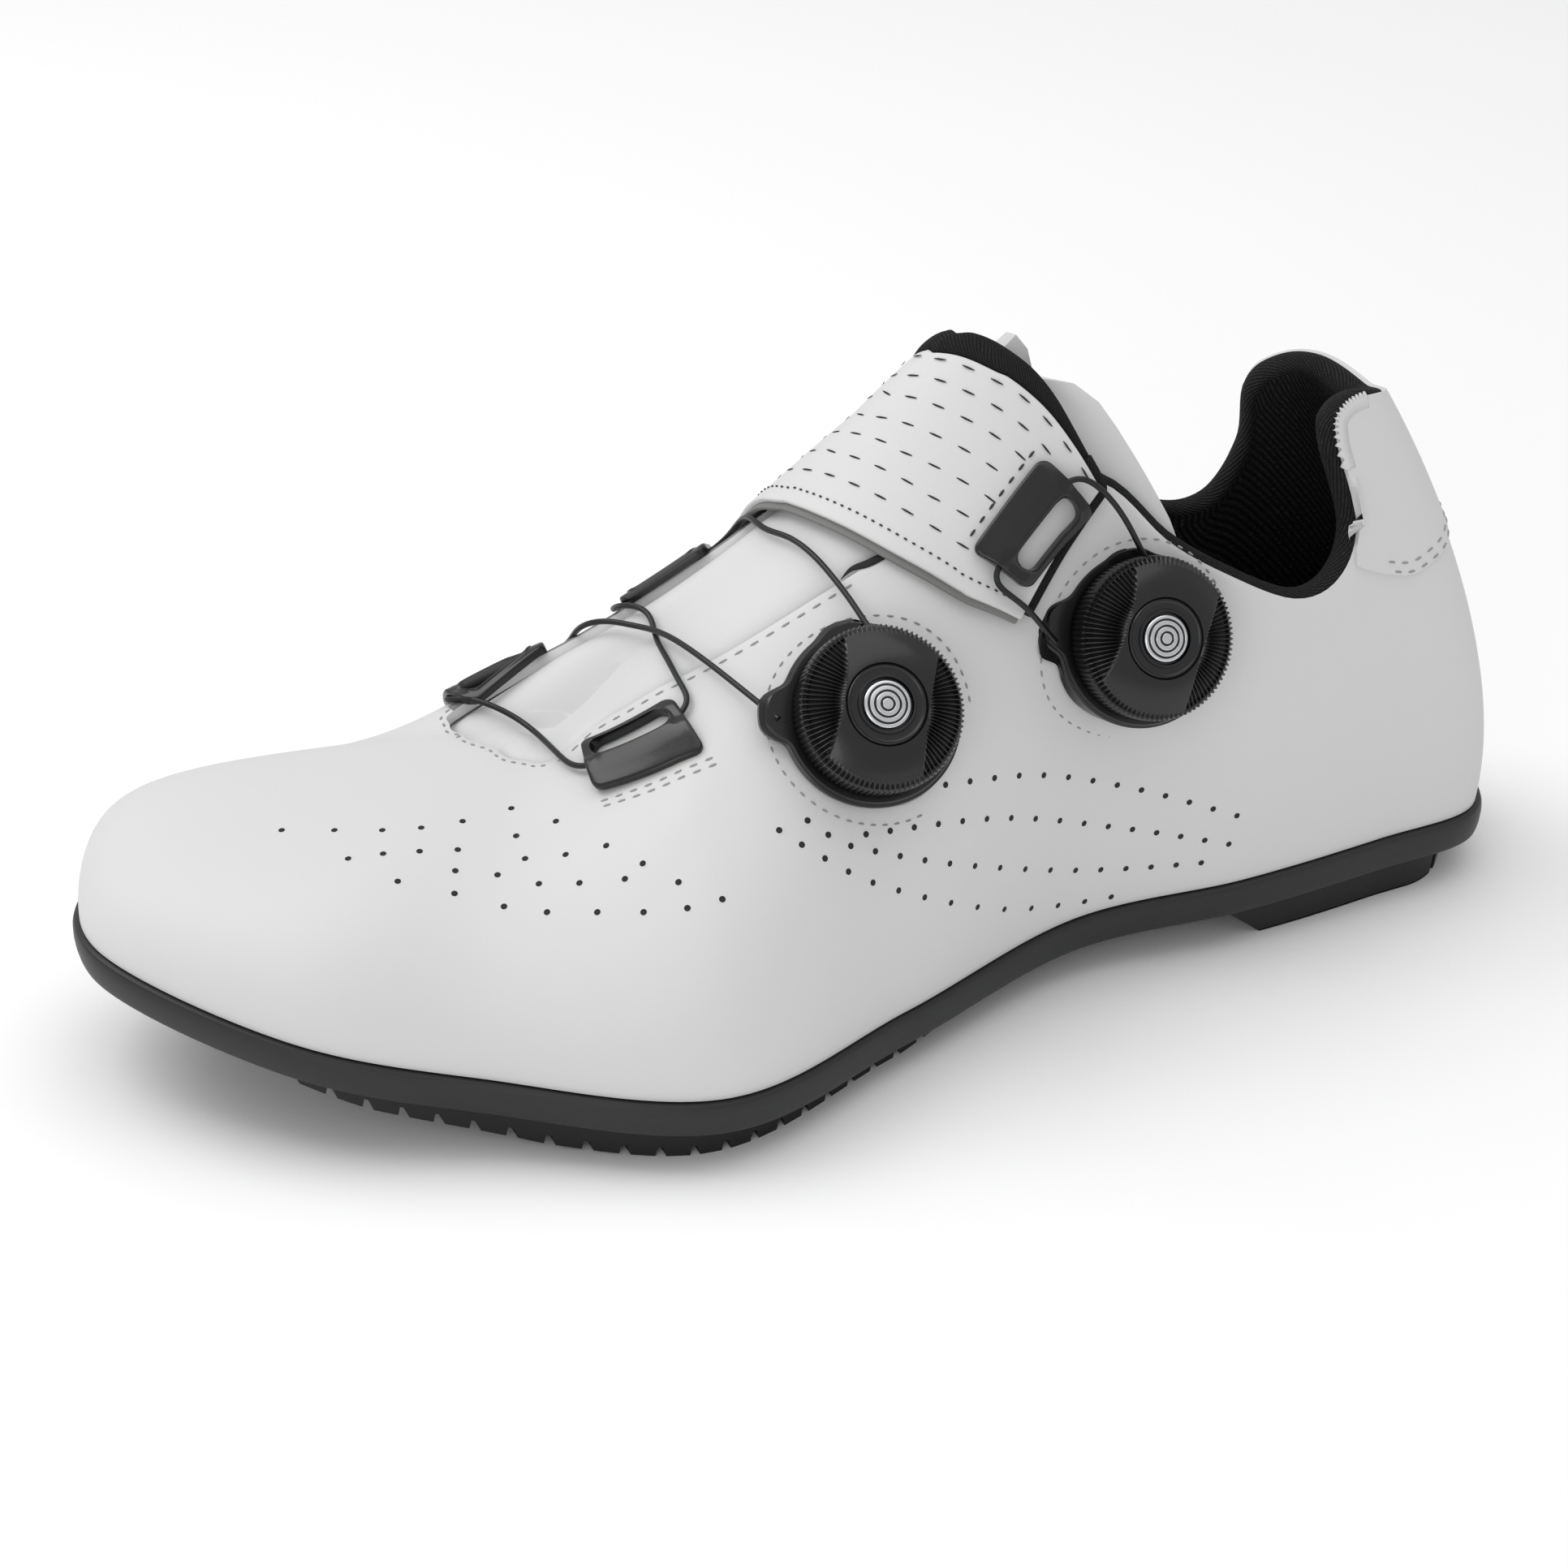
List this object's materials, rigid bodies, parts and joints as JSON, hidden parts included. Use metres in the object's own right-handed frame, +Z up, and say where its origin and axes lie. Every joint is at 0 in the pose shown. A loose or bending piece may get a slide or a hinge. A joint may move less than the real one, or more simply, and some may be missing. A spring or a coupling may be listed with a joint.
{
  "type": "cycling shoe",
  "caption": "Low cycling shoe for the left foot with a smooth synthetic upper, wrap-over instep strap, wire laces wound by turning dials, and a lugged rubber sole.",
  "frame": {"origin": "middle of the heel block's flat ground face", "axes": "+X towards the toe, +Y to the wearer's outer side (left), +Z up out of the shoe"},
  "size_m": [0.2913, 0.107, 0.1285],
  "materials": {
    "synthetic_leather": "satin coated microfibre",
    "mesh_fabric": "matt woven binding",
    "insole_foam": "matt fabric over foam",
    "rubber_band": "satin",
    "rubber_tread": "matt",
    "lace_wire": "black coated wire",
    "moulded_nylon": "semi-gloss moulded",
    "bright_cap": "turned satin"
  },
  "bodies": {
    "root": {"upper": "synthetic_leather", "tongue": "synthetic_leather", "strap": "synthetic_leather", "collar_lining": "mesh_fabric", "strap_rim": "mesh_fabric", "insole": "insole_foam", "sole": "rubber_band", "forefoot_tread": "rubber_tread", "heel_tread": "rubber_tread", "lace_lower": "lace_wire", "lace_upper": "lace_wire", "guide_lateral": "moulded_nylon", "guide_medial_front": "moulded_nylon", "guide_medial_rear": "moulded_nylon", "guide_strap": "moulded_nylon", "dial_front_base": "moulded_nylon", "dial_front_knob": "moulded_nylon", "dial_front_cap": "bright_cap", "dial_rear_base": "moulded_nylon", "dial_rear_knob": "moulded_nylon", "dial_rear_cap": "bright_cap"}
  },
  "joints": []
}
